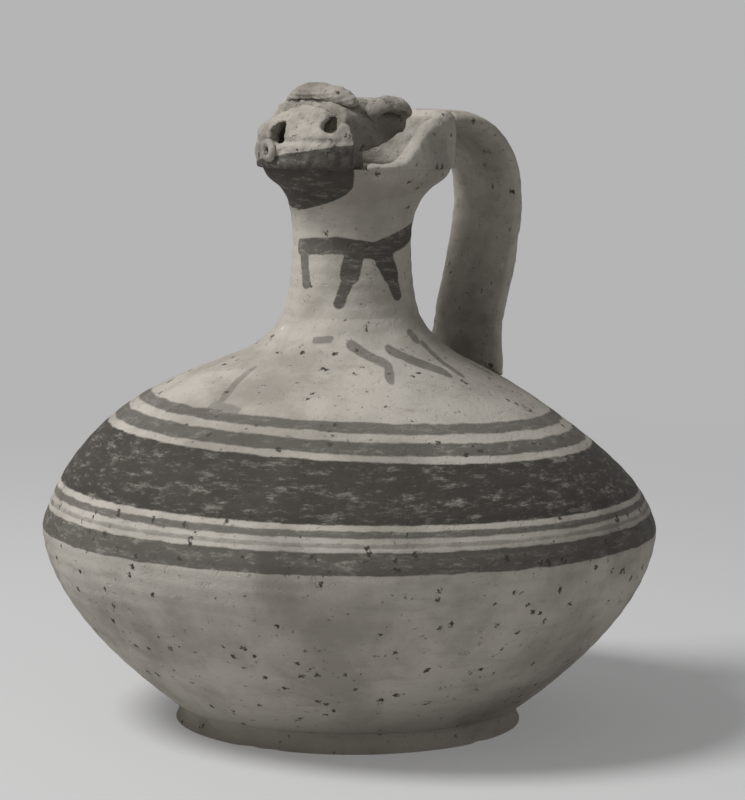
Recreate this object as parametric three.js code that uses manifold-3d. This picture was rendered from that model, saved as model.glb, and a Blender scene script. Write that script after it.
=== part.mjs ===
// A thrown clay jug with a strap handle and a small hollow animal's head on its mouth.
// Millimetres, +Z up. The origin is the middle of the foot, the handle is on +X and the face looks to -X.

import * as THREE from 'three';
import { mergeVertices } from 'three/addons/utils/BufferGeometryUtils.js';
import Module from 'manifold-3d';

const wasm = await Module();
wasm.setup();

// Driving dimensions: the walls and the joints between the pieces of clay

const luting = 0.3; // the joint left between two pieces with curved faces
const bodyWall = 4.4;
const neckWall = 4.2;
const floorThickness = 4.6;

// Facets: round a turned form, along a curve of its outline, and round or along a small piece

const roundSteps = 48; // round the body
const neckSteps = 36; // round the neck and the head
const outlineSteps = { bowl: 11, edge: 4, side: 7, root: 4, waist: 4, flare: 6, lip: 4, mask: 12, arch: 7 };
const collarSteps = 44;
const strapSteps = { along: 34, around: 16 };
const browSteps = { along: 18, around: 12 };
const earSteps = { around: 18, up: 12 };
const snoutSteps = { roll: 8, ring: 20 };
const holeSteps = 20;
const weld = 1e-4; // corners nearer than this become one

// Driving dimensions: the foot and the body, each station a radius and a height

const foot = { radius: 41, innerRadius: 32, height: 5, waist: 0.8, hollow: 1.6 };
const bowlStart = { radius: 42, height: foot.height };
const bowlLowerPull = { radius: 16.4, height: 12.4 }; // how far the wall runs out and up from the foot
const bowlUpperPull = { radius: 0.7, height: 14.4 }; // how far it runs down from the widest edge
const widest = { radius: 72.5, height: 46.5 };
const edgePull = { radius: 1.2, height: 5.5 }; // the roundness just above the widest edge
const flank = { radius: 66.6, height: 58.8 };
const flankPull = { radius: 12, height: 15.7 };
const shoulderTop = { radius: 28.1, height: 85.6 };
const shoulderTopPull = { radius: 8.9, height: 3.9 };
const neckRoot = { radius: 16.2, height: 96 };

// Driving dimensions: the neck and its flared mouth

const neckWaist = { radius: 13.95, height: 112 };
const neckRootPull = { inward: 1.8, height: 5 };
const flareStart = { radius: 18.4, height: 126 };
const flarePull = 3.4; // how far the straight neck runs up into the flare
const mouth = { radius: 22.2, height: 130.4 };
const lipPull = { inward: 0.4, height: 2.2 };
const mouthShift = 1.3; // the mouth sits this far towards the handle
const mouthShiftStart = 116;

// Driving dimensions: the sag of the shoulder, as a fired jug has it

const sag = { slope: 0.042, direction: -38, start: 48, full: 73, end: 94 };

// Driving dimensions: the strap handle, its middle line in the plane y = 0

const strap = { thickness: 5, topWidth: 23.5, middleWidth: 24, rootWidth: 30, rootSpread: 16 };
const strapSquareness = { side: 0.75, face: 0.85 }; // below 1 the oval section fills its corners
const strapTop = { reach: 20, height: 141.3 };
const strapCrown = { reach: 31.2, height: 140 };
const strapElbow = { reach: 38.6, height: 133.6 };
const strapOutmost = { reach: 41.6, height: 124 };
const strapMiddle = { reach: 39.6, height: 107.5 };
const strapLow = { reach: 36.4, height: 95 };
const strapRoot = { reach: 34, height: 76 };

// Driving dimensions: the collar behind the mouth

const collar = { outset: 0.4, thickness: 3.8, startAngle: 58, lowHeight: 1.1, fullHeight: 12.9 };
const collarEdge = { rounding: 1.3, belly: 0.2 };
const collarRise = { from: 72, to: 104 };
const collarBackRise = { from: 100, to: 130, height: 10.8 };

// Driving dimensions: the head

const headWall = 3.2;
const maskBase = 21.3; // radius where the face stands on the rim
const maskCheek = { radius: 22.6, above: 4.6 };
const maskBrow = { radius: 20.4, above: 10.2 };
const maskCrown = { radius: 12.4, above: 14.7 };
const maskTop = 16.2;
const maskBack = 13.3; // the face's back edge, measured forward from the neck's axis

const spout = { angle: -2, above: 8, width: 6.6, height: 5.2 };
const nearEye = { angle: 37.4, above: 9.7, size: 4.4 };
const farEye = { angle: -45, above: 9.5, size: 4.4 };

const vaultWall = 2.8;
const vaultHalfWidth = 13.6;
const vaultTop = 15.8;
const vaultShoulder = 10.6;
const vaultBack = -6;
const vaultCorner = { side: 0.75, top: 0.55 }; // how full the arch is at its shoulders, up to 1
const cheekEdge = [ // forward from the axis, above the rim
	{ forward: 8.2, above: -0.4 },
	{ forward: 7.1, above: 3.9 },
	{ forward: 2.2, above: 5.7 },
	{ forward: -3.8, above: 8.6 },
	{ forward: -5.3, above: 11.6 },
	{ forward: -7, above: 11.8 },
];

const brow = { forward: 11.2, width: 5.6, thickness: 4.6, top: 19.5, nearEnd: 13.2, farEnd: -13.2 };
const browNearDrop = 2.2;
const browFarDrop = 5.4;
const browEnd = { swing: 1.5, taper: 4, fullest: 0.97 }; // the ends swing back and close in

const ear = { forward: 0.4, side: 13.4, above: 13.2, length: 12.6, width: 7.4, height: 6.6 };
const earHollow = { outward: 1.9, down: 1.5, length: 9, width: 5.4, height: 4.4 };
const farEarShift = -1.6; // the hidden ear sits a little further back and lower

const snout = { angle: -5, above: 4, ringRadius: 1.7, rollRadius: 0.95 };

// Small numerical helpers

const radians = THREE.MathUtils.degToRad;
const smooth = THREE.MathUtils.smoothstep;
const mix = THREE.MathUtils.lerp;
const station = ({ radius, height }) => new THREE.Vector2(radius, height);

// Solids: a closed geometry becomes a manifold, is joined and cut, and comes back

function bare(geometry) {
	const copy = geometry.index ? geometry.clone() : mergeVertices(geometry);
	copy.deleteAttribute('normal');
	copy.deleteAttribute('uv');
	return mergeVertices(copy, weld);
}

function solid(geometry) {
	const merged = bare(geometry);
	const triVerts = dropFlatTriangles(merged.index.array);
	const vertProperties = merged.attributes.position.array;
	return new wasm.Manifold(new wasm.Mesh({ numProp: 3, vertProperties, triVerts }));
}

function dropFlatTriangles(index) {
	const kept = [];
	for (let i = 0; i < index.length; i += 3) {
		const [a, b, c] = [index[i], index[i + 1], index[i + 2]];
		if (a !== b && b !== c && c !== a) kept.push(a, b, c);
	}
	return new Uint32Array(kept);
}

function geometryOf(manifold) {
	const mesh = manifold.getMesh();
	const geometry = new THREE.BufferGeometry();
	geometry.setAttribute('position', new THREE.BufferAttribute(mesh.vertProperties, 3));
	geometry.setIndex(new THREE.BufferAttribute(mesh.triVerts, 1));
	geometry.computeVertexNormals();
	return geometry;
}

// Moves every corner of a geometry by a function of its place
function reshape(geometry, change) {
	const position = geometry.attributes.position;
	const point = new THREE.Vector3();
	for (let i = 0; i < position.count; i++) {
		point.fromBufferAttribute(position, i);
		change(point);
		position.setXYZ(i, point.x, point.y, point.z);
	}
	return geometry;
}

// Turned forms: a closed outline of radius and height, spun about the vertical axis
function turned(outline, steps) {
	const geometry = new THREE.LatheGeometry([...outline, outline[0]], steps);
	return geometry.rotateX(Math.PI / 2);
}

// A loft through closed rings that all have the same number of points, with its two ends filled
function loft(rings) {
	const around = rings[0].length;
	const corners = rings.flat();
	const triangles = [];
	for (let ring = 0; ring + 1 < rings.length; ring++) {
		for (let i = 0; i < around; i++) {
			const a = ring * around + i;
			const b = ring * around + ((i + 1) % around);
			triangles.push(a, b, b + around, a, b + around, a + around);
		}
	}
	const middle = (ring) => ring.reduce((sum, p) => sum.add(p), new THREE.Vector3()).divideScalar(around);
	corners.push(middle(rings[0]), middle(rings[rings.length - 1]));
	const last = (rings.length - 1) * around;
	for (let i = 0; i < around; i++) {
		const next = (i + 1) % around;
		triangles.push(corners.length - 2, next, i, corners.length - 1, last + i, last + next);
	}
	const geometry = new THREE.BufferGeometry().setFromPoints(corners);
	geometry.setIndex(triangles);
	return geometry;
}

// Walls: the inner face follows the outer one at the wall's thickness

function offsetOutline(outline, distance) {
	return outline.map((point, i) => {
		const before = outline[Math.max(i - 1, 0)];
		const after = outline[Math.min(i + 1, outline.length - 1)];
		const along = after.clone().sub(before).normalize();
		return new THREE.Vector2(point.x - along.y * distance, point.y + along.x * distance);
	});
}

// Keeps the part of a rising outline between two heights, with a point on each cut
function between(outline, low, high) {
	const kept = [];
	for (let i = 0; i + 1 < outline.length; i++) {
		const [a, b] = [outline[i], outline[i + 1]];
		for (const cut of [low, high]) {
			if ((a.y - cut) * (b.y - cut) < 0) kept.push(a.clone().lerp(b, (cut - a.y) / (b.y - a.y)));
		}
		if (b.y >= low && b.y <= high) kept.push(b.clone());
	}
	if (outline[0].y >= low) kept.unshift(outline[0].clone());
	return kept.sort((a, b) => a.y - b.y);
}

const level = (outline, height) => outline.map((p) => new THREE.Vector2(p.x, height));

// The outer line of the bowl, the shoulder and the neck, from the foot to the rim

function bowlLine() {
	const start = station(bowlStart);
	const end = station(widest);
	const low = new THREE.Vector2(start.x + bowlLowerPull.radius, start.y + bowlLowerPull.height);
	const high = new THREE.Vector2(end.x - bowlUpperPull.radius, end.y - bowlUpperPull.height);
	return new THREE.CubicBezierCurve(start, low, high, end).getPoints(outlineSteps.bowl);
}

function shoulderLine() {
	const edge = station(widest);
	const edgeHandle = new THREE.Vector2(edge.x - edgePull.radius, edge.y + edgePull.height);
	const side = station(flank);
	const sideHandle = new THREE.Vector2(side.x - flankPull.radius, side.y + flankPull.height);
	const top = station(shoulderTop);
	const topHandle = new THREE.Vector2(top.x - shoulderTopPull.radius, top.y + shoulderTopPull.height);
	const root = station(neckRoot);
	return [
		...new THREE.QuadraticBezierCurve(edge, edgeHandle, side).getPoints(outlineSteps.edge),
		...new THREE.QuadraticBezierCurve(side, sideHandle, top).getPoints(outlineSteps.side).slice(1),
		...new THREE.QuadraticBezierCurve(top, topHandle, root).getPoints(outlineSteps.root).slice(1),
	];
}

function neckLine() {
	const root = station(neckRoot);
	const waist = station(neckWaist);
	const flare = station(flareStart);
	const lip = station(mouth);
	const rootHandle = new THREE.Vector2(root.x - neckRootPull.inward, root.y + neckRootPull.height);
	const flareHandle = new THREE.Vector2(waist.x, flare.y - flarePull);
	const lipHandle = new THREE.Vector2(lip.x - lipPull.inward, lip.y - lipPull.height);
	return [
		...new THREE.QuadraticBezierCurve(root, rootHandle, waist).getPoints(outlineSteps.waist),
		...new THREE.QuadraticBezierCurve(waist, flareHandle, flare).getPoints(outlineSteps.flare).slice(1),
		...new THREE.QuadraticBezierCurve(flare, lipHandle, lip).getPoints(outlineSteps.lip).slice(1),
	];
}

// The shoulder has sagged to one side, most at half its height, and the mouth leans to the handle

const sagDirection = new THREE.Vector2(Math.cos(radians(sag.direction)), Math.sin(radians(sag.direction)));

function settle(point) {
	const rise = smooth(point.z, sag.start, sag.full) * (1 - smooth(point.z, sag.full, sag.end));
	const along = point.x * sagDirection.x + point.y * sagDirection.y;
	point.z -= sag.slope * rise * along;
	point.x += mouthShift * smooth(point.z, mouthShiftStart, mouth.height);
}

// The pieces of the body

function footRing() {
	const middle = foot.height / 2;
	const outline = [
		new THREE.Vector2(foot.radius, 0),
		new THREE.Vector2(foot.radius - foot.waist, middle),
		new THREE.Vector2(foot.radius, foot.height),
		new THREE.Vector2(foot.innerRadius, foot.height),
		new THREE.Vector2(foot.innerRadius + foot.hollow, 0),
	];
	return solid(turned(outline, roundSteps));
}

function bodyBowl() {
	const outer = bowlLine();
	const floorTop = foot.height + floorThickness;
	const wall = offsetOutline(outer, bodyWall);
	wall[wall.length - 1].y = widest.height;
	const inner = between(wall, floorTop, widest.height).reverse();
	const outline = [new THREE.Vector2(0, foot.height), ...outer, ...inner, new THREE.Vector2(0, floorTop)];
	return solid(turned(outline, roundSteps));
}

function bodyShoulder() {
	const outer = shoulderLine();
	const wall = offsetOutline(outer, bodyWall);
	wall[0].y = widest.height;
	wall[wall.length - 1].copy(new THREE.Vector2(neckRoot.radius - neckWall, neckRoot.height));
	const inner = between(wall, widest.height, neckRoot.height).reverse();
	return solid(reshape(turned([...outer, ...inner], roundSteps), settle));
}

function neck() {
	const outer = neckLine();
	const wall = offsetOutline(outer, neckWall);
	wall[0].set(neckRoot.radius - neckWall, neckRoot.height);
	wall[wall.length - 1].set(mouth.radius - neckWall, mouth.height);
	const inner = between(wall, neckRoot.height, mouth.height).reverse();
	return solid(reshape(turned([...outer, ...inner], neckSteps), settle));
}

// The outside of the shoulder and neck as one block, grown by a joint: what the handle is cut to
function bodyBlock(grown) {
	const outline = offsetOutline([...shoulderLine(), ...neckLine().slice(1)], -grown);
	const top = outline[outline.length - 1];
	const bottom = outline[0];
	const closed = [new THREE.Vector2(0, bottom.y), ...outline, new THREE.Vector2(0, top.y)];
	return solid(reshape(turned(closed, roundSteps), settle));
}

// The collar: a wall round the back of the mouth, which climbs to the handle on both sides

function collarHeight(angle) {
	const turn = Math.min(angle, 360 - angle);
	const side = smooth(turn, collarRise.from, collarRise.to);
	const back = smooth(turn, collarBackRise.from, collarBackRise.to);
	const full = mix(collarBackRise.height, collar.fullHeight, back);
	return mix(collar.lowHeight, full, side);
}

function rimCollar() {
	const outer = mouth.radius + collar.outset;
	const inner = outer - collar.thickness;
	const rings = [];
	for (let i = 0; i <= collarSteps; i++) {
		const angle = mix(collar.startAngle, 360 - collar.startAngle, i / collarSteps);
		const height = collarHeight(angle);
		const round = Math.min(collarEdge.rounding, height / 2);
		const section = [
			[outer, 0], [inner, 0], [inner, height - round], [inner + round, height],
			[outer - round, height], [outer, height - round], [outer + collarEdge.belly, height / 2],
		];
		rings.push(section.map(([radius, above]) => new THREE.Vector3(
			mouthShift - radius * Math.cos(radians(angle)),
			-radius * Math.sin(radians(angle)),
			mouth.height + above,
		)));
	}
	return solid(loft(rings));
}

function collarBlock(grown) {
	const outer = mouth.radius + collar.outset + grown;
	const low = flareStart.height;
	const high = mouth.height + collar.fullHeight + strap.thickness;
	const outline = [[0, low], [outer, low], [outer, high], [0, high]].map((p) => new THREE.Vector2(...p));
	return solid(turned(outline, neckSteps).translate(mouthShift, 0, 0));
}

// The strap: an oval section swept along its middle line, wider where it spreads on the shoulder

function strapLine() {
	const stations = [strapTop, strapCrown, strapElbow, strapOutmost, strapMiddle, strapLow, strapRoot];
	return new THREE.CatmullRomCurve3(
		stations.map(({ reach, height }) => new THREE.Vector3(reach, 0, height)), false, 'centripetal');
}

function strapWidth(height) {
	const spread = 1 - smooth(height, strapRoot.height, strapRoot.height + strap.rootSpread);
	const upper = smooth(height, strapMiddle.height, strapTop.height);
	return mix(mix(strap.middleWidth, strap.topWidth, upper), strap.rootWidth, spread);
}

function handleStrap() {
	const line = strapLine();
	const swell = (value, power) => Math.sign(value) * Math.abs(value) ** power;
	const rings = [];
	for (let i = 0; i <= strapSteps.along; i++) {
		const middle = line.getPointAt(i / strapSteps.along);
		const along = line.getTangentAt(i / strapSteps.along);
		const outward = new THREE.Vector3(-along.z, 0, along.x);
		const halfWidth = strapWidth(middle.z) / 2;
		const ring = [];
		for (let j = 0; j < strapSteps.around; j++) {
			const turn = (j / strapSteps.around) * 2 * Math.PI;
			const side = swell(Math.cos(turn), strapSquareness.side) * halfWidth;
			const depth = swell(Math.sin(turn), strapSquareness.face) * (strap.thickness / 2);
			ring.push(middle.clone().addScaledVector(outward, depth).add(new THREE.Vector3(0, side, 0)));
		}
		rings.push(ring);
	}
	return solid(loft(rings)).subtract(bodyBlock(luting)).subtract(collarBlock(luting));
}

// The head stands on the rim. Its front is a round wall, closed over at the top

function maskLine(grown) {
	const rim = mouth.height;
	const points = [
		[maskBase, 0], [maskCheek.radius, maskCheek.above], [maskBrow.radius, maskBrow.above],
		[maskCrown.radius, maskCrown.above],
	];
	const side = new THREE.SplineCurve(points.map(([r, above]) => new THREE.Vector2(r + grown, rim + above)));
	return [...side.getPoints(outlineSteps.mask), new THREE.Vector2(0, rim + maskTop + grown)];
}

function maskBlock(grown) {
	const outline = [new THREE.Vector2(0, mouth.height), ...maskLine(grown)];
	outline[1].y = mouth.height;
	return solid(turned(outline, neckSteps));
}

// A box that holds everything in front of a plane across the head
function frontOf(forward) {
	const reach = 60;
	const box = new THREE.BoxGeometry(reach, reach, reach);
	return solid(box.translate(-forward - reach / 2, 0, mouth.height + reach / 2));
}

// A round or oval hole bored towards the neck's axis
function bore(angle, above, width, height) {
	const length = 16;
	const hole = new THREE.CylinderGeometry(0.5, 0.5, length, holeSteps);
	hole.rotateZ(Math.PI / 2).scale(1, width, height);
	hole.translate(-maskCheek.radius, 0, mouth.height + above);
	return solid(hole.rotateZ(radians(angle)));
}

function faceMask() {
	return maskBlock(0)
		.subtract(maskBlock(-headWall))
		.intersect(frontOf(maskBack))
		.subtract(bore(spout.angle, spout.above, spout.width, spout.height))
		.subtract(bore(nearEye.angle, nearEye.above, nearEye.size, nearEye.size))
		.subtract(bore(farEye.angle, farEye.above, farEye.size, farEye.size));
}

// The vault: an arch extruded from the face to its open back, with the cheeks cut away below

function archShape(grown) {
	const half = vaultHalfWidth + grown;
	const top = vaultTop + grown;
	const haunch = mix(vaultShoulder, top, vaultCorner.side);
	const crown = half * vaultCorner.top;
	const shape = new THREE.Shape();
	shape.moveTo(-half, 0);
	shape.lineTo(half, 0);
	shape.lineTo(half, vaultShoulder);
	shape.bezierCurveTo(half, haunch, crown, top, 0, top);
	shape.bezierCurveTo(-crown, top, -half, haunch, -half, vaultShoulder);
	shape.closePath();
	return shape;
}

function archBlock(grown, front, back) {
	const options = { depth: front - back, curveSegments: outlineSteps.arch, bevelEnabled: false };
	const arch = new THREE.ExtrudeGeometry(archShape(grown), options);
	arch.rotateX(Math.PI / 2).rotateZ(Math.PI / 2).translate(-front, 0, mouth.height);
	return solid(arch);
}

function headVault() {
	const front = maskBack - luting;
	const past = 1; // how far a cutting block runs past what it cuts
	const cut = new THREE.Shape(cheekEdge.map(({ forward, above }) => new THREE.Vector2(-forward, above)));
	cut.lineTo(-vaultBack + 2 * past, cheekEdge[0].above);
	cut.closePath();
	const across = 4 * vaultHalfWidth;
	const below = new THREE.ExtrudeGeometry(cut, { depth: across, bevelEnabled: false });
	below.rotateX(Math.PI / 2).translate(0, across / 2, mouth.height);
	return archBlock(0, front, vaultBack)
		.subtract(archBlock(-vaultWall, front + past, vaultBack - past))
		.subtract(solid(below));
}

// What the applied pieces of the head are cut to: the face and the vault, grown by a joint
function headBlock() {
	return maskBlock(luting).intersect(frontOf(maskBack - 2 * luting))
		.add(archBlock(luting, maskBack, vaultBack - luting));
}

function browRoll() {
	const centreHeight = mouth.height + brow.top - brow.thickness / 2;
	const rings = [];
	for (let i = 0; i <= browSteps.along; i++) {
		const side = mix(brow.farEnd, brow.nearEnd, i / browSteps.along);
		const reach = side > 0 ? side / brow.nearEnd : side / brow.farEnd;
		const drop = (side > 0 ? browNearDrop : browFarDrop) * reach ** 2;
		const end = Math.sqrt(1 - Math.min(Math.abs(reach), browEnd.fullest) ** browEnd.taper);
		const ring = [];
		for (let j = 0; j < browSteps.around; j++) {
			const turn = (j / browSteps.around) * 2 * Math.PI;
			ring.push(new THREE.Vector3(
				-brow.forward + Math.cos(turn) * (brow.width / 2) * end + browEnd.swing * reach ** 2,
				-side,
				centreHeight - drop + Math.sin(turn) * (brow.thickness / 2) * end,
			));
		}
		rings.push(ring);
	}
	return solid(loft(rings)).subtract(headBlock());
}

// An ear: an egg of clay hollowed from outside and below
function earLug(handSide, forwardShift, heightShift) {
	const egg = ({ length, width, height }) => (
		new THREE.SphereGeometry(0.5, earSteps.around, earSteps.up).scale(length, width, height));
	const place = (geometry, outward, down) => geometry.translate(
		-ear.forward - forwardShift,
		-handSide * (ear.side + outward),
		mouth.height + ear.above + heightShift - down,
	);
	const outer = solid(place(egg(ear), 0, 0));
	const hollow = solid(place(egg(earHollow), earHollow.outward, earHollow.down));
	return outer.subtract(hollow).subtract(headBlock()).subtract(browBlock());
}

// The ears stop where the roll over the forehead starts
function browBlock() {
	return frontOf(brow.forward - brow.width / 2 - luting);
}

function snoutRing() {
	const ring = new THREE.TorusGeometry(snout.ringRadius, snout.rollRadius, snoutSteps.roll, snoutSteps.ring);
	ring.rotateY(Math.PI / 2).translate(-maskCheek.radius - luting, 0, mouth.height + snout.above);
	return solid(ring.rotateZ(radians(snout.angle))).subtract(maskBlock(luting));
}

// Finishes: pale clay, and a slightly darker bare foot

const paleClay = new THREE.MeshStandardMaterial({ color: 0xb9b2a6, roughness: 0.85, metalness: 0 });
const bareClay = new THREE.MeshStandardMaterial({ color: 0xa69c8d, roughness: 0.9, metalness: 0 });

function named(name, manifold, material) {
	const mesh = new THREE.Mesh(geometryOf(manifold), material);
	mesh.name = name;
	return mesh;
}

const jug = new THREE.Group();
jug.add(
	named('foot_ring', footRing(), bareClay),
	named('body_bowl', bodyBowl(), paleClay),
	named('body_shoulder', bodyShoulder(), paleClay),
	named('neck', neck(), paleClay),
	named('rim_collar', rimCollar(), paleClay),
	named('handle_strap', handleStrap(), paleClay),
	named('face_mask', faceMask(), paleClay),
	named('head_vault', headVault(), paleClay),
	named('brow_roll', browRoll(), paleClay),
	named('ear_near', earLug(1, 0, 0), paleClay),
	named('ear_far', earLug(-1, farEarShift, farEarShift), paleClay),
	named('snout_ring', snoutRing(), paleClay),
);

export default jug;
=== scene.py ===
# %% [markdown]
# This lesson dresses a small fired clay jug. The frame holds its CAD solids, and each piece made here
# takes the place of one of them, with a finer skin, the marks of the potter's hands, paint and wear.
# The corners of the CAD box are kept first, and the top of the box later caps the pieces shaped by hand.

# %% Load the frame
import math

import bmesh
import bpy
import numpy as np
from mathutils import Matrix, Vector


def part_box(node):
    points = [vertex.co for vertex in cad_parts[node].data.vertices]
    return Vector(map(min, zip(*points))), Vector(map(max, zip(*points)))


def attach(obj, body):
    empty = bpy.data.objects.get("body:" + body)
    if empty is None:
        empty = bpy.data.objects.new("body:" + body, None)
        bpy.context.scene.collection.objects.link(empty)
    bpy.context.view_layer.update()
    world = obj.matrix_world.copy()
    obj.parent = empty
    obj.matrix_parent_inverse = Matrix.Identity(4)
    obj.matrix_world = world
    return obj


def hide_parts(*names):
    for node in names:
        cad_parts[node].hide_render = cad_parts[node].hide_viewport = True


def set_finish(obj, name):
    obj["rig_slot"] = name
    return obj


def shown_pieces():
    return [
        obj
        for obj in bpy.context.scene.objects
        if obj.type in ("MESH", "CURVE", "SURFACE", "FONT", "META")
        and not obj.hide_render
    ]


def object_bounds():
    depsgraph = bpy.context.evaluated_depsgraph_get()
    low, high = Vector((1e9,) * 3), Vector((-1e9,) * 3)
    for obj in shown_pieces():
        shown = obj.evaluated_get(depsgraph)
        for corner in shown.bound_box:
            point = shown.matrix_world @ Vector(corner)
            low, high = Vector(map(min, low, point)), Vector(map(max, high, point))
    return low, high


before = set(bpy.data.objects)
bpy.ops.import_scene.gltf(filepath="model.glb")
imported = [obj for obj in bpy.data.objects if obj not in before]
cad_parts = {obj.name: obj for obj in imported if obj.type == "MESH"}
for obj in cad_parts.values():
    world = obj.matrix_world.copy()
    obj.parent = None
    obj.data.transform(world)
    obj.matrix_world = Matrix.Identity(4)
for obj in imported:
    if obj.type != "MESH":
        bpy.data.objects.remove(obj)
cad_low, cad_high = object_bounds()
print("CAD box", [round(v, 4) for v in cad_low], [round(v, 4) for v in cad_high])

# %% [markdown]
# Clay is never quite even. A sum of sine waves in many directions gives a gentle swell between -1 and 1
# that is the same on every run. A noise in the finish would only change the shading, but here the points
# themselves move, so the unevenness is in the shape. A second helper tells how far round the jug a point
# is: 0 degrees is where the face looks, and the angle grows towards the face's left side.

# %% Unevenness and turn
MM = 0.001
WAVES = 24
SHORTEST_WAVE, LONGEST_WAVE = 0.6, 1.6  # as shares of the asked size
SWELL_LIMIT = 2


def swell(points, size, seed):
    draw = np.random.default_rng(seed)
    direction = draw.normal(size=(WAVES, 3))
    direction /= np.linalg.norm(direction, axis=1)[:, None]
    pitch = size * draw.uniform(SHORTEST_WAVE, LONGEST_WAVE, WAVES)
    phase = draw.uniform(0, 2 * math.pi, WAVES)
    wave = np.sin(points @ (direction / pitch[:, None]).T * 2 * math.pi + phase)
    return np.clip(wave.sum(1) / math.sqrt(WAVES / 2), -SWELL_LIMIT, SWELL_LIMIT) / SWELL_LIMIT


def from_zero(wave):
    return 0.5 + 0.5 * wave


def turn_of(points):
    return np.degrees(np.arctan2(-points[:, 1], -points[:, 0]))


def radius_of(points):
    return np.hypot(points[:, 0], points[:, 1])


def smooth(value, low, high):
    share = np.clip((value - low) / (high - low), 0, 1)
    return share * share * (3 - 2 * share)


print("swell at the origin", round(float(swell(np.zeros((1, 3)), 10, 1)[0]), 3))

# %% [markdown]
# The body, neck and foot were thrown on a wheel, so each is a line spun round the axis. The lines are the
# same curves as in the CAD source, only with more points. Spinning them afresh is better than smoothing
# the CAD facets, which would shrink the jug.

# %% Curves of the body and neck, each point a radius and a height in millimetres
FOOT_HEIGHT = 5.0
BOWL_START = (42.0, FOOT_HEIGHT)
WIDEST = (72.5, 46.5)
FLANK = (66.6, 58.8)
SHOULDER_TOP = (28.1, 85.6)
NECK_ROOT = (16.2, 96.0)
NECK_WAIST = (13.95, 112.0)
FLARE_START = (18.4, 126.0)
MOUTH = (22.2, 130.4)
BOWL_LOWER_PULL, BOWL_UPPER_PULL = (16.4, 12.4), (-0.7, -14.4)
EDGE_PULL, FLANK_PULL, SHOULDER_TOP_PULL = (-1.2, 5.5), (-12, 15.7), (-8.9, 3.9)
NECK_ROOT_PULL, LIP_PULL, FLARE_PULL = (-1.8, 5), (-0.4, -2.2), 3.4
CURVE_STEPS = 200
POINT_GAP = 0.6
SAME_POINT = 1e-9


def bezier(*controls):
    controls = [np.array(c, float) for c in controls]
    share = np.linspace(0, 1, CURVE_STEPS)[:, None]
    while len(controls) > 1:
        controls = [a * (1 - share) + b * share for a, b in zip(controls, controls[1:])]
    return controls[0]


def evenly(line):
    step = np.linalg.norm(np.diff(line, axis=0), axis=1)
    reach = np.concatenate([[0], np.cumsum(step)])
    keep = np.concatenate([[True], step > SAME_POINT])
    wanted = np.linspace(0, reach[-1], max(2, int(reach[-1] / POINT_GAP) + 1))
    return np.column_stack([np.interp(wanted, reach[keep], line[keep, i]) for i in (0, 1)])


def moved(point, pull):
    return (point[0] + pull[0], point[1] + pull[1])


bowl_line = evenly(bezier(
    BOWL_START, moved(BOWL_START, BOWL_LOWER_PULL), moved(WIDEST, BOWL_UPPER_PULL), WIDEST))
shoulder_line = evenly(np.vstack([
    bezier(WIDEST, moved(WIDEST, EDGE_PULL), FLANK),
    bezier(FLANK, moved(FLANK, FLANK_PULL), SHOULDER_TOP),
    bezier(SHOULDER_TOP, moved(SHOULDER_TOP, SHOULDER_TOP_PULL), NECK_ROOT)]))
neck_line = evenly(np.vstack([
    bezier(NECK_ROOT, moved(NECK_ROOT, NECK_ROOT_PULL), NECK_WAIST),
    bezier(NECK_WAIST, (NECK_WAIST[0], FLARE_START[1] - FLARE_PULL), FLARE_START),
    bezier(FLARE_START, moved(MOUTH, LIP_PULL), MOUTH)]))
print("points on the lines", len(bowl_line), len(shoulder_line), len(neck_line))

# %% [markdown]
# A thrown wall has an inside too, seen here through the open back of the head. The inner line follows the
# outer one at the wall's thickness. A line that starts and ends on the axis closes there in a fan, and any
# other line closes on itself in a ring.

# %% Walls and spinning
BODY_WALL, NECK_WALL, FLOOR_THICKNESS = 4.4, 4.2, 4.6
FEWEST_WALL_POINTS = 8
BODY_STEPS, NECK_STEPS = 360, 240
NEAR_AXIS = 1e-6


def inner_wall(outer, wall, low, high, first=None, last=None):
    along = np.gradient(outer, axis=0)
    along /= np.linalg.norm(along, axis=1)[:, None]
    line = outer + np.column_stack([-along[:, 1], along[:, 0]]) * wall
    if first is not None:
        line[0] = first
    if last is not None:
        line[-1] = last
    line = line[np.argsort(line[:, 1], kind="stable")]
    heights = np.linspace(low, high, max(FEWEST_WALL_POINTS, int((high - low) / POINT_GAP)))
    return np.column_stack([np.interp(heights, line[:, 1], line[:, 0]), heights])[::-1]


def spun(outline, around=BODY_STEPS):
    on_axis = outline[0][0] < NEAR_AXIS
    ring = outline[1:-1] if on_axis else outline
    turn = np.linspace(0, 2 * math.pi, around, endpoint=False)
    points = np.array([[r * math.cos(t), r * math.sin(t), z] for r, z in ring for t in turn])
    faces = []
    for i in range(len(ring) - (1 if on_axis else 0)):
        a, b = i * around, ((i + 1) % len(ring)) * around
        faces += [(a + j, a + (j + 1) % around, b + (j + 1) % around, b + j) for j in range(around)]
    if on_axis:
        low, high, last = len(points), len(points) + 1, (len(ring) - 1) * around
        points = np.vstack([points, [0, 0, outline[0][1]], [0, 0, outline[-1][1]]])
        faces += [(low, (j + 1) % around, j) for j in range(around)]
        faces += [(high, last + j, last + (j + 1) % around) for j in range(around)]
    return points, faces


print("walls of", BODY_WALL, "and", NECK_WALL, "mm, floor of", FLOOR_THICKNESS, "mm")

# %% [markdown]
# After throwing, the soft shoulder sank a little on one side and the mouth moved towards the handle. The
# spun points are settled in the same way as the CAD ones, so that the neck still meets the head.

# %% Settling
SAG_SLOPE, SAG_TURN = 0.042, math.radians(-38)
SAG_START, SAG_FULL, SAG_END = 48, 73, 94
MOUTH_SHIFT, MOUTH_SHIFT_START = 1.3, 116


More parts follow.
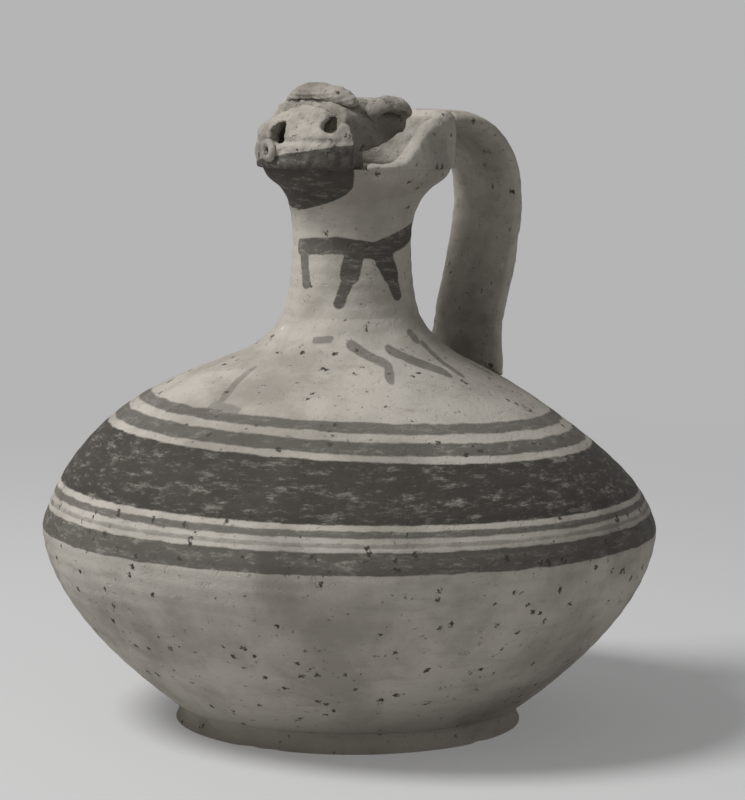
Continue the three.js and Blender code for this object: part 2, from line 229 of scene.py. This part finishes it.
def settled(points):
    out = points.copy()
    rise = smooth(out[:, 2], SAG_START, SAG_FULL) * (1 - smooth(out[:, 2], SAG_FULL, SAG_END))
    along = out[:, 0] * math.cos(SAG_TURN) + out[:, 1] * math.sin(SAG_TURN)
    out[:, 2] -= SAG_SLOPE * rise * along
    out[:, 0] += MOUTH_SHIFT * smooth(out[:, 2], MOUTH_SHIFT_START, MOUTH[1])
    return out


print("the mouth moves", MOUTH_SHIFT, "mm towards the handle")

# %% [markdown]
# Every piece is made by the same few steps. Its points become a closed mesh with its faces turned out,
# its paint is stored on the points, and it takes the place of its CAD solid. A plain smooth shading would
# draw a false line where a wall ends, so corners sharper than a limit stay crisp.

# %% One clay piece
SHARP_CORNER = math.radians(50)


def clay_piece(name, points, faces, node, slot, height, paint):
    mesh = bpy.data.meshes.new(name)
    mesh.from_pydata((points * MM).tolist(), [], faces)
    skin = bmesh.new()
    skin.from_mesh(mesh)
    bmesh.ops.recalc_face_normals(skin, faces=skin.faces)
    skin.to_mesh(mesh)
    skin.free()
    mesh.shade_smooth()
    mesh.set_sharp_from_angle(angle=SHARP_CORNER)
    distance, strength = paint(points, height)
    for label, values in (("paint_distance", distance), ("paint_strength", strength)):
        stored_values = mesh.attributes.new(label, "FLOAT", "POINT").data
        stored_values.foreach_set("value", values.astype(np.float32))
    piece = bpy.data.objects.new(name, mesh)
    bpy.context.scene.collection.objects.link(piece)
    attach(piece, "root")
    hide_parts(node)
    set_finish(piece, slot)
    print(name, len(points), "points")


print("corners over", round(math.degrees(SHARP_CORNER)), "degrees stay crisp")

# %% [markdown]
# The paint is brushed in level bands while the jug turns, with freehand strokes on the neck and shoulder
# and a dark patch under the face. Every point stores roughly how far it is from the nearest painted edge,
# in millimetres and negative inside the paint. For a level band that is only the difference in height.
# The value runs evenly between points, so the edge is crisper than a colour on the points would be. On the
# thrown pieces the heights are those before the shoulder sank, since the paint follows the clay.

# %% Level bands
NO_PAINT = 50.0
BANDS = (  # lowest and highest edge in millimetres, and how strong the paint still is
    (74.1, 76.0, 0.75), (70.0, 72.5, 0.8), (56.5, 68.7, 1.0),
    (53.9, 55.3, 0.75), (52.0, 52.8, 0.45), (46.3, 51.0, 0.85),
)


def nearer(distance, strength, other, other_strength):
    closer = other < distance
    return np.where(closer, other, distance), np.where(closer, other_strength, strength)


def bare(points, height):
    return np.full(len(points), NO_PAINT), np.zeros(len(points))


def bands(points, height):
    distance, strength = bare(points, height)
    for low, high, force in BANDS:
        edge = np.abs(height - (low + high) / 2) - (high - low) / 2
        distance, strength = nearer(distance, strength, edge, force)
    return distance, strength


print(len(BANDS), "bands")

# %% [markdown]
# A stroke of the brush is a line with round ends. It could be painted as an image, but two ends, half a
# width and a strength say the same in six numbers, and its edge stays sharp from close by. The strokes
# follow those on the real jug, made simpler.

# %% Strokes of the brush
NECK_STROKES = (  # turn and height of each end, half the width in millimetres, strength
    (-5, 112.0, 35, 112.8, 1.9, 0.85), (35, 112.8, 75, 111.6, 2.0, 0.9), (75, 111.6, 129, 115.5, 2.1, 0.9),
    (-2, 111.2, 5, 103.7, 1.4, 0.75), (54, 110.7, 50, 106.0, 2.3, 0.9), (50, 106.0, 41, 99.5, 1.4, 0.85),
    (84, 110.0, 92, 106.0, 2.5, 0.9), (92, 106.0, 97, 101.4, 1.6, 0.85),
)
SHOULDER_STROKES = (  # faded ones, written as those on the neck
    (4.5, 84.2, 10.5, 78.1, 0.9, 0.4), (19, 76.4, 9, 77, 0.8, 0.35), (27, 91.3, 37.5, 91.5, 0.8, 0.55),
    (51.5, 90.5, 71, 86.6, 1.0, 0.65), (71, 86.6, 68, 83.9, 1.0, 0.6), (76.5, 89.4, 98, 84.9, 1.1, 0.65),
    (101, 92.2, 101.5, 91.6, 1.3, 0.6), (106.5, 89.9, 105.5, 84.7, 1.0, 0.6),
    (131, 84.6, 131.5, 83.9, 0.9, 0.5),
)


def brushed(points, height, strokes, distance, strength):
    turn = turn_of(points)
    radius = radius_of(points)
    for turn_a, high_a, turn_b, high_b, half, force in strokes:
        across = np.radians(turn - turn_a) * radius
        step = np.radians(turn_b - turn_a) * radius
        up, rise = height - high_a, high_b - high_a
        share = np.clip((across * step + up * rise) / (step ** 2 + rise ** 2), 0, 1)
        edge = np.hypot(across - share * step, up - share * rise) - half
        distance, strength = nearer(distance, strength, edge, force)
    return distance, strength


def shoulder_paint(points, height):
    return brushed(points, height, SHOULDER_STROKES, *bands(points, height))


print(len(NECK_STROKES), "strokes on the neck and", len(SHOULDER_STROKES), "on the shoulder")

# %% [markdown]
# The animal's jaw is painted dark. It starts on the face, below a lip that rises towards the near cheek,
# and runs down the flare of the neck, where its two sides draw together into a blunt point.

# %% Dark jaw
JAW_TURN, JAW_HALF, JAW_LOW, JAW_HIGH = -7, 60, 120.3, 128.2
JAW_BLUNTNESS = 3
JAW_STRENGTH, FACE_JAW_STRENGTH = 0.95, 0.9
LIP_HEIGHT, LIP_RISE, LIP_START = 132.2, 0.055, -18  # millimetres, millimetres a degree, degrees


def neck_paint(points, height):
    distance, strength = brushed(points, height, NECK_STROKES, *bare(points, height))
    depth = np.clip((JAW_HIGH - height) / (JAW_HIGH - JAW_LOW), 0, 1)
    half = JAW_HALF * (1 - depth ** JAW_BLUNTNESS)
    jaw = np.radians(np.abs(turn_of(points) - JAW_TURN) - half) * radius_of(points)
    jaw = np.maximum(jaw, JAW_LOW - height)
    return nearer(distance, strength, jaw, JAW_STRENGTH)


def face_paint(points, height):
    turn = turn_of(points)
    side = np.radians(np.abs(turn - JAW_TURN) - JAW_HALF) * radius_of(points)
    lip = height - (LIP_HEIGHT + LIP_RISE * (turn - LIP_START))
    return np.maximum(side, lip), np.full(len(points), FACE_JAW_STRENGTH)


print("the jaw ends", JAW_LOW, "mm above the foot's base")

# %% [markdown]
# The wheel leaves low ridges all round, and the hands leave slow unevenness across them. Both only move
# points towards the axis, so that the thrown pieces don't grow out of their CAD boxes. The foot has lost
# some chips along its edges, each a small round dent at its own place.

# %% Marks of throwing
WHEEL_RIDGE, RIDGE_PACE, RIDGE_DRIFT, RIDGE_DRIFT_SIZE = 0.1, 1.9, 2, 60
HAND_UNEVENNESS, HAND_SIZE = 0.22, 26
STILL_RADIUS, FULL_RADIUS = 4, 12  # the marks fade out near the axis
FOOT_RADIUS = 41.0
CHIPS = (  # turn, height, radius and depth in millimetres
    (-4, 3.6, 1.8, 1.0), (19, 0.6, 2.2, 1.1), (27, 0.5, 1.8, 0.8), (34, 4.6, 2.4, 0.9),
    (43, 4.4, 1.6, 0.7), (100, 0.4, 1.9, 0.8), (205, 4.5, 2.2, 0.9), (290, 0.5, 2.0, 0.8),
)


def thrown(points, seed, chips=()):
    out = points.copy()
    radius = np.maximum(radius_of(out), NEAR_AXIS)
    drift = RIDGE_DRIFT * swell(out, RIDGE_DRIFT_SIZE, seed + 1)
    ridge = from_zero(np.sin(out[:, 2] * RIDGE_PACE + drift))
    slow = from_zero(swell(out, HAND_SIZE, seed))
    inward = WHEEL_RIDGE * ridge + HAND_UNEVENNESS * slow
    inward *= smooth(radius, STILL_RADIUS, FULL_RADIUS)
    for turn, height, size, depth in chips:
        middle = np.array([-math.cos(math.radians(turn)), -math.sin(math.radians(turn))]) * FOOT_RADIUS
        away = np.linalg.norm(out - [middle[0], middle[1], height], axis=1)
        inward += depth * np.exp(-((away / size) ** 2))
    out[:, :2] *= (1 - inward / radius)[:, None]
    return out


print(len(CHIPS), "chips in the foot")

# %% [markdown]
# The foot is a low ring, a little waisted outside and opening inside towards the base, so that the jug
# stands on a narrow flat face. Its line goes up the outside, across the top, down the inside and back
# along the base.

# %% Foot
FOOT_INNER, FOOT_WAIST, FOOT_HOLLOW = 32.0, 0.8, 1.6
OUTER_STEPS, TOP_STEPS, INSIDE_STEPS, BASE_STEPS = 22, 18, 10, 16
FOOT_SEED, BODY_SEED = 3, 5


def straight(start, end, steps):
    return np.linspace(start, end, steps)[1:]


rising = np.linspace(0, FOOT_HEIGHT, OUTER_STEPS)
waisted = FOOT_RADIUS - FOOT_WAIST * np.sin(math.pi * rising / FOOT_HEIGHT)
top_inner, base_inner = (FOOT_INNER, FOOT_HEIGHT), (FOOT_INNER + FOOT_HOLLOW, 0)
foot_outline = np.vstack([
    np.column_stack([waisted, rising]),
    straight((FOOT_RADIUS, FOOT_HEIGHT), top_inner, TOP_STEPS),
    straight(top_inner, base_inner, INSIDE_STEPS),
    straight(base_inner, (FOOT_RADIUS, 0), BASE_STEPS)[:-1]])
points, faces = spun(foot_outline)
clay_piece("foot", thrown(points, FOOT_SEED, CHIPS), faces, "foot_ring", "bare_clay", points[:, 2], bare)

# %% [markdown]
# Bowl, shoulder and neck are one wall on a thrown jug, so they share one seed. Their marks then run on
# across the places where the CAD splits them.

# %% Bowl, shoulder and neck
floor_top = FOOT_HEIGHT + FLOOR_THICKNESS
bowl_inner = inner_wall(bowl_line, BODY_WALL, floor_top, WIDEST[1])
points, faces = spun(np.vstack([[0, FOOT_HEIGHT], bowl_line, bowl_inner, [0, floor_top]]))
clay_piece("bowl", thrown(points, BODY_SEED), faces, "body_bowl", "painted_clay", points[:, 2], bands)

root_inside = (NECK_ROOT[0] - NECK_WALL, NECK_ROOT[1])
mouth_inside = (MOUTH[0] - NECK_WALL, MOUTH[1])
shoulder_inner = inner_wall(shoulder_line, BODY_WALL, WIDEST[1], NECK_ROOT[1], last=root_inside)
points, faces = spun(np.vstack([shoulder_line, shoulder_inner]))
clay_piece(
    "shoulder", settled(thrown(points, BODY_SEED)), faces, "body_shoulder", "painted_clay",
    points[:, 2], shoulder_paint)

neck_inner = inner_wall(
    neck_line, NECK_WALL, NECK_ROOT[1], MOUTH[1], first=root_inside, last=mouth_inside)
points, faces = spun(np.vstack([neck_line, neck_inner]), NECK_STEPS)
clay_piece(
    "neck", settled(thrown(points, BODY_SEED)), faces, "neck", "painted_clay", points[:, 2], neck_paint)

# %% [markdown]
# The handle, the collar and the pieces of the head were shaped by hand. Each starts as a copy of its CAD
# solid, which is remeshed into small even cells and smoothed, as wet fingers round an edge. It is grown a
# little, so that neighbouring lumps press together where they were stuck on. It may reach past its own CAD
# box by that growth and no more, and never above the top of the jug.

# %% Pressing by hand
BROAD_MARK_SIZE, FINE_MARK_SIZE = 7, 2.6
BROAD_MARK_SHARE, FINE_MARK_SHARE = 0.6, 0.4
SOFTENING = 0.5


def pressed(name, node, seed, slot, cell=0.42, grow=0.22, rounds=8, marks=0.22, shape=None, paint=bare):
    copy = bpy.data.objects.new(name + "_draft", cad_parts[node].data.copy())
    bpy.context.scene.collection.objects.link(copy)
    remesh = copy.modifiers.new("cells", "REMESH")
    remesh.mode, remesh.voxel_size = "VOXEL", cell * MM
    soften = copy.modifiers.new("soften", "SMOOTH")
    soften.factor, soften.iterations = SOFTENING, rounds
    made = copy.evaluated_get(bpy.context.evaluated_depsgraph_get()).to_mesh()
    points = np.array([v.co for v in made.vertices]) / MM
    normals = np.array([v.normal for v in made.vertices])
    faces = [tuple(p.vertices) for p in made.polygons]
    bpy.data.objects.remove(copy)
    broad = marks * swell(points, BROAD_MARK_SIZE, seed) * BROAD_MARK_SHARE
    fine = marks * swell(points, FINE_MARK_SIZE, seed + 1) * FINE_MARK_SHARE
    points += normals * (grow + broad + fine)[:, None]
    if shape is not None:
        points = shape(points, normals)
    low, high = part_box(node)
    points = np.clip(points, np.array(low) / MM - grow, np.array(high) / MM + grow)
    points[:, 2] = np.minimum(points[:, 2], cad_high.z / MM)
    clay_piece(name, points, faces, node, slot, points[:, 2], paint)


def dented(points, normals, dents):
    for place, size, depth in dents:
        away = np.linalg.norm(points - np.array(place), axis=1)
        points = points - normals * (depth * np.exp(-((away / size) ** 2)))[:, None]
    return points


print("the top of the jug is at", round(cad_high.z / MM, 1), "mm")

# %% [markdown]
# The broad handle is pitted, as clay is where grit has burnt or fallen out. The places of the pits are
# drawn by a seeded generator from the handle's own points, so they are the same on every run.

# %% Handle and collar
HANDLE_PITS = 46
PIT_RADIUS, PIT_DEPTH = (0.35, 0.9), (0.2, 0.55)
pit_draw = np.random.default_rng(11)


def handle_marks(points, normals):
    chosen = pit_draw.choice(len(points), HANDLE_PITS, replace=False)
    dents = [(points[i].copy(), pit_draw.uniform(*PIT_RADIUS), pit_draw.uniform(*PIT_DEPTH)) for i in chosen]
    return dented(points, normals, dents)


pressed("handle", "handle_strap", seed=21, slot="handle_clay", shape=handle_marks)
pressed("collar", "rim_collar", seed=23, slot="handle_clay", rounds=6)

# %% [markdown]
# The head is small and quickly made. The roll over the forehead carries fine lines along its length and is
# broken at the far end. A pressed line marks the mouth, close to the lower edge of the pouring hole, and
# wet clay is smeared over the joint with the rim, on the outside only.

# %% Marks on the head
BROW_LINES, BROW_LINE_DEPTH, BROW_LINE_SLANT = 5.5, 0.16, 0.4
BROW_LINE_DRIFT, BROW_LINE_DRIFT_SIZE, BROW_SEED = 0.8, 9, 31
BROW_BREAK = ((-10.5, 10.6, 146.4), 1.8, 1.3)  # place, radius and depth
BROW_CRACK = ((-11.8, 5.2, 149.0), 0.8, 0.5)
MOUTH_LINE_HEIGHT, MOUTH_LINE_DEPTH, MOUTH_LINE_WIDTH = 136.6, 0.5, 0.7
MOUTH_LINE_TURN, MOUTH_LINE_END, MOUTH_LINE_FULL = 8, 48, 26
FACE_OUTER_SIDE, JOINT_SMEAR, SMEAR_TOP, SMEAR_FULL = 20.2, 0.6, 134, 131


def brow_marks(points, normals):
    drift = BROW_LINE_DRIFT * swell(points, BROW_LINE_DRIFT_SIZE, BROW_SEED)
    line = from_zero(np.sin((points[:, 2] - BROW_LINE_SLANT * points[:, 0]) * BROW_LINES + drift))
    points = points - normals * (BROW_LINE_DEPTH * line)[:, None]
    return dented(points, normals, [BROW_BREAK, BROW_CRACK])


def face_marks(points, normals):
    off = (points[:, 2] - MOUTH_LINE_HEIGHT) / MOUTH_LINE_WIDTH
    reach = smooth(np.abs(turn_of(points) - MOUTH_LINE_TURN), MOUTH_LINE_END, MOUTH_LINE_FULL)
    pressed_in = MOUTH_LINE_DEPTH * reach * np.exp(-(off ** 2))
    outer_side = radius_of(points) > FACE_OUTER_SIDE
    smeared = JOINT_SMEAR * smooth(points[:, 2], SMEAR_TOP, SMEAR_FULL) * outer_side
    return points + normals * (smeared - pressed_in)[:, None]


print("the mouth line is", MOUTH_LINE_DEPTH, "mm deep")

# %% [markdown]
# The small lumps need finer cells than the face, or the remeshing would round them away. The ring of the
# snout is the finest, and is smoothed least.

# %% Head
FINE_CELL, FINEST_CELL = 0.3, 0.22
ROUGH_MARKS, LUMP_MARKS = 0.5, 0.4
pressed(
    "face", "face_mask", seed=33, slot="head_clay",
    rounds=5, grow=0.15, marks=ROUGH_MARKS, shape=face_marks, paint=face_paint)
pressed("crown_of_head", "head_vault", seed=35, slot="head_clay", rounds=6, marks=ROUGH_MARKS)
pressed(
    "brow", "brow_roll", seed=37, slot="head_clay", cell=FINE_CELL,
    rounds=5, marks=LUMP_MARKS, shape=brow_marks)
for name, node, seed in (("ear_near_side", "ear_near", 39), ("ear_far_side", "ear_far", 41)):
    pressed(name, node, seed, slot="head_clay", cell=FINE_CELL, rounds=5, marks=LUMP_MARKS)
pressed("snout", "snout_ring", seed=43, slot="head_clay", cell=FINEST_CELL, rounds=2, grow=0.1, marks=0.1)

# %% [markdown]
# A finish is a small net of nodes. These helpers each add a part of it: a noise in the clay, which can be
# squeezed from top to bottom so that it streaks round the jug, a soft step between two levels, patches,
# which are a noise seen through such a step, a sum, and a mix of two colours.

# %% Helpers for the finishes
STEP_SOCKETS = ("From Min", "From Max", "To Min", "To Max")
MIX_SHARE, MIX_UNDER, MIX_OVER, MIX_RESULT = 0, 6, 7, 2  # the sockets that a mix of colours uses


def placed(tree):
    return tree.nodes.new("ShaderNodeTexCoord").outputs["Object"]


def noise(tree, place, scale, detail=6, rough=0.6, upright=1):
    squeezed = tree.nodes.new("ShaderNodeVectorMath")
    squeezed.operation = "MULTIPLY"
    squeezed.inputs[1].default_value = (1, 1, upright)
    tree.links.new(place, squeezed.inputs[0])
    node = tree.nodes.new("ShaderNodeTexNoise")
    node.inputs["Scale"].default_value = scale
    node.inputs["Detail"].default_value = detail
    node.inputs["Roughness"].default_value = rough
    tree.links.new(squeezed.outputs[0], node.inputs["Vector"])
    return node.outputs["Fac"]


def step(tree, value, low, high, start=0.0, end=1.0):
    node = tree.nodes.new("ShaderNodeMapRange")
    node.interpolation_type = "SMOOTHSTEP"
    tree.links.new(value, node.inputs["Value"])
    for label, number in zip(STEP_SOCKETS, (low, high, start, end)):
        node.inputs[label].default_value = number
    return node.outputs["Result"]


def patches(tree, place, kind, start=0.0, end=1.0):
    texture, low, high = kind
    return step(tree, noise(tree, place, **texture), low, high, start, end)


def worked(tree, kind, a, b):
    node = tree.nodes.new("ShaderNodeMath")
    node.operation = kind
    for socket, value in zip(node.inputs, (a, b)):
        if isinstance(value, (int, float)):
            socket.default_value = value
        else:
            tree.links.new(value, socket)
    return node.outputs[0]


def mixed(tree, share, under, over):
    node = tree.nodes.new("ShaderNodeMix")
    node.data_type = "RGBA"
    tree.links.new(share, node.inputs[MIX_SHARE])
    for socket, colour in ((node.inputs[MIX_UNDER], under), (node.inputs[MIX_OVER], over)):
        if isinstance(colour, tuple):
            socket.default_value = colour
        else:
            tree.links.new(colour, socket)
    return node.outputs[MIX_RESULT]


print("steps run between", STEP_SOCKETS)

# %% [markdown]
# Dark grit shows as small ragged specks. A cell pattern gives one centre a cell, and only a few cells are
# chosen by their random colour. Bending the pattern with a noise makes each speck ragged and not round.

# %% Specks
RAGGEDNESS, RAGGED_FINENESS = 1.1, 3
SPECK_EDGE, SPECK_FADE = 0.9, 0.5


def specks(tree, place, scale, share, size):
    ragged = tree.nodes.new("ShaderNodeTexNoise")
    ragged.inputs["Scale"].default_value = RAGGED_FINENESS * scale
    tree.links.new(place, ragged.inputs["Vector"])
    bent = tree.nodes.new("ShaderNodeVectorMath")
    bent.operation = "MULTIPLY_ADD"
    bent.inputs[1].default_value = (RAGGEDNESS / scale,) * 3
    tree.links.new(ragged.outputs["Color"], bent.inputs[0])
    tree.links.new(place, bent.inputs[2])
    cells = tree.nodes.new("ShaderNodeTexVoronoi")
    cells.inputs["Scale"].default_value = scale
    tree.links.new(bent.outputs[0], cells.inputs["Vector"])
    split = tree.nodes.new("ShaderNodeSeparateColor")
    tree.links.new(cells.outputs["Color"], split.inputs[0])
    chosen = step(tree, split.outputs[0], 1 - share, 1 - share * SPECK_EDGE)
    inside = step(tree, cells.outputs["Distance"], size, size * SPECK_FADE)
    return worked(tree, "MULTIPLY", inside, chosen)


FINE_SPECKS = {"scale": 460, "share": 0.09, "size": 0.4}
LARGE_SPECKS = {"scale": 210, "share": 0.025, "size": 0.27}
print("about one cell in", round(1 / FINE_SPECKS["share"]), "has a fine speck")

# %% [markdown]
# The paint is mixed in where the stored distance is below zero. A little noise is added to the distance, so
# that the brush's edge wavers, and worn spots let the clay through.

# %% Cover of paint
EDGE_WAVER, EDGE_SOFTNESS, WEAR = 1.1, 0.2, 0.5
WAVER_TEXTURE, WAVER_MIDDLE = {"scale": 170, "detail": 5, "upright": 2}, 0.5
WORN_SPOTS = ({"scale": 190, "detail": 10, "rough": 0.8, "upright": 4}, 0.5, 0.68)


def stored(tree, label):
    node = tree.nodes.new("ShaderNodeAttribute")
    node.attribute_name = label
    return node.outputs["Fac"]


def paint_cover(tree, place):
    unsteady = worked(tree, "SUBTRACT", noise(tree, place, **WAVER_TEXTURE), WAVER_MIDDLE)
    waver = worked(tree, "MULTIPLY", unsteady, EDGE_WAVER)
    distance = worked(tree, "ADD", stored(tree, "paint_distance"), waver)
    painted = step(tree, distance, EDGE_SOFTNESS, -EDGE_SOFTNESS)
    worn = patches(tree, place, WORN_SPOTS, 1.0, 1.0 - WEAR)
    strong = worked(tree, "MULTIPLY", painted, stored(tree, "paint_strength"))
    return worked(tree, "MULTIPLY", strong, worn)


print("worn spots keep", 1.0 - WEAR, "of the paint")

# %% [markdown]
# All four finishes are one clay with small differences, so one recipe makes them. Broad soil, streaks from
# the wheel and pale scrapes vary the tone under the paint, and specks and grit lie over it. Fine relief and
# pits break the light. The photograph is black and white, so the warm tint is a guess. Each kind of patch
# is a texture, then the levels of it at which the patch starts and is full.

# %% Clay
SOIL = ({"scale": 38}, 0.4, 0.68)
STREAKS = ({"scale": 70, "detail": 8, "rough": 0.7, "upright": 5}, 0.5, 0.72)
SCRAPES = ({"scale": 210, "detail": 8, "rough": 0.75}, 0.64, 0.72)
GRIT = ({"scale": 640, "detail": 4}, 0.63, 0.72)
DULL_SPOTS = ({"scale": 120}, 0.3, 0.7)
RAISED_SPOTS = ({"scale": 520, "detail": 3}, 0.28, 0.4)
GRAIN_TEXTURE = {"scale": 900, "detail": 6}
PALE_CLAY, DEEP_CLAY = (0.42, 0.39, 0.345, 1), (0.22, 0.2, 0.172, 1)
FOOT_PALE, FOOT_DEEP = (0.42, 0.385, 0.335, 1), (0.25, 0.225, 0.19, 1)
HEAD_PALE, HEAD_DEEP = (0.4, 0.37, 0.325, 1), (0.15, 0.135, 0.115, 1)
SCRAPED_CLAY = (0.66, 0.63, 0.58, 1)
DARK_PAINT = (0.045, 0.04, 0.034, 1)
SPECK = (0.05, 0.044, 0.038, 1)
STREAKINESS, SCRAPE_STRENGTH, GRIT_STRENGTH = 0.45, 0.5, 0.7
SMOOTHEST, ROUGHEST = 0.72, 0.92
SHINE, RELIEF_DEPTH = 0.25, 0.4 * MM


def clay_tone(tree, place, pale, deep, soil):
    tone = mixed(tree, patches(tree, place, SOIL, 0, soil), pale, deep)
    tone = mixed(tree, patches(tree, place, STREAKS, 0, STREAKINESS), tone, deep)
    tone = mixed(tree, patches(tree, place, SCRAPES, 0, SCRAPE_STRENGTH), tone, SCRAPED_CLAY)
    tone = mixed(tree, paint_cover(tree, place), tone, DARK_PAINT)
    for kind in (FINE_SPECKS, LARGE_SPECKS):
        tone = mixed(tree, specks(tree, place, **kind), tone, SPECK)
    return mixed(tree, patches(tree, place, GRIT, 0, GRIT_STRENGTH), tone, SPECK)


def clay_finish(name, pale=PALE_CLAY, deep=DEEP_CLAY, bump=0.35, soil=0.75):
    finish = bpy.data.materials.new(name)
    finish.use_nodes = True
    tree = finish.node_tree
    place = placed(tree)
    shader = tree.nodes["Principled BSDF"]
    shader.inputs["Specular IOR Level"].default_value = SHINE
    tree.links.new(clay_tone(tree, place, pale, deep, soil), shader.inputs["Base Color"])
    roughness = patches(tree, place, DULL_SPOTS, SMOOTHEST, ROUGHEST)
    tree.links.new(roughness, shader.inputs["Roughness"])
    relief = tree.nodes.new("ShaderNodeBump")
    relief.inputs["Strength"].default_value = bump
    relief.inputs["Distance"].default_value = RELIEF_DEPTH
    raised = patches(tree, place, RAISED_SPOTS)  # what lies between these spots are the pits
    grain = noise(tree, place, **GRAIN_TEXTURE)
    tree.links.new(worked(tree, "ADD", grain, raised), relief.inputs["Height"])
    tree.links.new(relief.outputs["Normal"], shader.inputs["Normal"])
    return finish


print("pale clay", PALE_CLAY[:3])

# %% [markdown]
# The bare foot is a little warmer and rougher than the painted clay, the handle is rougher again, and the
# head is the roughest and most soiled. Each piece takes the finish of its own slot.

# %% Finishes
finishes = {
    "bare_clay": clay_finish("bare_clay", FOOT_PALE, FOOT_DEEP, bump=0.5),
    "painted_clay": clay_finish("painted_clay"),
    "handle_clay": clay_finish("handle_clay", bump=0.6, soil=0.85),
    "head_clay": clay_finish("head_clay", HEAD_PALE, HEAD_DEEP, bump=0.8, soil=1.0),
}
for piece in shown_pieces():
    piece.data.materials.clear()
    piece.data.materials.append(finishes[piece["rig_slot"]])
print("finishes", sorted(finishes))

# %% [markdown]
# The jug stands on a wide pale disc. Lit by the lamps alone, its far part would grow dark and show a hard
# line against the room, so it fades into the room's own grey. Only camera, glossy and transmission rays
# see that grey, so it throws no soft light on the jug.

# %% Floor
GREY = (0.46, 0.46, 0.46, 1)
PAPER, PAPER_ROUGHNESS = (0.6, 0.6, 0.6, 1), 0.95
FLOOR_RADIUS, FLOOR_SIDES = 6, 96
FADE_NEAR, FADE_FAR, FADE_LEAST = 0.13, 0.7, 0.35  # metres, metres, and the share of grey nearest the jug


def seen_directly(tree):
    rays = tree.nodes.new("ShaderNodeLightPath")
    found = rays.outputs["Is Camera Ray"]
    for label in ("Is Glossy Ray", "Is Transmission Ray"):
        found = worked(tree, "MAXIMUM", found, rays.outputs[label])
    return found


bpy.ops.mesh.primitive_circle_add(
    vertices=FLOOR_SIDES, radius=FLOOR_RADIUS, fill_type="NGON", location=(0, 0, 0))
ground = bpy.context.object
ground.name = "floor"
paper = bpy.data.materials.new("paper")
paper.use_nodes = True
sheet = paper.node_tree
lit = sheet.nodes["Principled BSDF"]
lit.inputs["Base Color"].default_value = PAPER
lit.inputs["Roughness"].default_value = PAPER_ROUGHNESS
plain = sheet.nodes.new("ShaderNodeEmission")
plain.inputs["Color"].default_value = GREY
away = sheet.nodes.new("ShaderNodeVectorMath")
away.operation = "LENGTH"
sheet.links.new(placed(sheet), away.inputs[0])
fade = step(sheet, away.outputs["Value"], FADE_NEAR, FADE_FAR, FADE_LEAST, 1)
surface = sheet.nodes.new("ShaderNodeMixShader")
sheet.links.new(worked(sheet, "MULTIPLY", fade, seen_directly(sheet)), surface.inputs[0])
sheet.links.new(lit.outputs[0], surface.inputs[1])
sheet.links.new(plain.outputs[0], surface.inputs[2])
sheet.links.new(surface.outputs[0], sheet.nodes["Material Output"].inputs["Surface"])
ground.data.materials.append(paper)
print("the floor is", 2 * FLOOR_RADIUS, "m across")

# %% [markdown]
# One soft lamp stands high on the left, as a window would, and a weak one on the right keeps the shaded
# side readable. Their places are given as seen from the camera, which looks at the jug's front left.

# %% Lamps
VIEW_TURN = math.radians(38)
AIM_HEIGHT = 75.505 * MM
right = Vector((math.cos(VIEW_TURN), -math.sin(VIEW_TURN), 0))
towards_camera = Vector((-math.sin(VIEW_TURN), -math.cos(VIEW_TURN), 0))
aim = Vector((0, 0, AIM_HEIGHT))


def lamp(name, across, forward, up, size, power):
    light = bpy.data.lights.new(name, "AREA")
    light.shape, light.size, light.energy = "DISK", size, power
    source = bpy.data.objects.new(name, light)
    source.location = aim + right * across + towards_camera * forward + Vector((0, 0, up))
    source.rotation_euler = (aim - source.location).to_track_quat("-Z", "Y").to_euler()
    bpy.context.scene.collection.objects.link(source)
    print(name, power, "W")


lamp("window", across=-0.7, forward=0.3, up=1.05, size=0.5, power=18)
lamp("bounce", across=0.9, forward=0.7, up=0.35, size=0.9, power=0.6)

# %% [markdown]
# The room gives a weak even light from all sides. Seen directly, it has the same grey as the far floor.

# %% Room
ROOM_LIGHT = 0.22
world = bpy.data.worlds.new("room")
bpy.context.scene.world = world
world.use_nodes = True
tree = world.node_tree
room = tree.nodes["Background"]
room.inputs["Color"].default_value = (1, 1, 1, 1)
room.inputs["Strength"].default_value = ROOM_LIGHT
backdrop = tree.nodes.new("ShaderNodeBackground")
backdrop.inputs["Color"].default_value = GREY
choose = tree.nodes.new("ShaderNodeMixShader")
tree.links.new(seen_directly(tree), choose.inputs[0])
tree.links.new(room.outputs[0], choose.inputs[1])
tree.links.new(backdrop.outputs[0], choose.inputs[2])
tree.links.new(choose.outputs[0], tree.nodes["World Output"].inputs["Surface"])
print("room light", ROOM_LIGHT)

# %% [markdown]
# The camera stands about where the photograph was taken, level with the top of the jug and in front of its
# left side. The place, lens and slight tilt were worked out from the jug's outline. The shift moves the jug
# off centre.

# %% Camera
CAMERA_PLACE = Vector((-417.2, -533.9, 155.0)) * MM
CAMERA_ROLL = math.radians(0.5)
LENS, SENSOR, SHIFT = 130.26, 36, 0.02761
back = (CAMERA_PLACE - aim).normalized()
up = back.cross(right)
local_x = right * math.cos(CAMERA_ROLL) + up * math.sin(CAMERA_ROLL)
local_y = up * math.cos(CAMERA_ROLL) - right * math.sin(CAMERA_ROLL)
eye = bpy.data.cameras.new("camera")
eye.lens, eye.sensor_width, eye.shift_x = LENS, SENSOR, SHIFT
camera = bpy.data.objects.new("camera", eye)
turned = Matrix((local_x, local_y, back)).transposed().to_4x4()
camera.matrix_world = Matrix.Translation(CAMERA_PLACE) @ turned
bpy.context.scene.collection.objects.link(camera)
bpy.context.scene.camera = camera
bpy.context.scene.view_settings.view_transform = "Standard"
print("camera is", round((CAMERA_PLACE - aim).length, 3), "m from the jug")
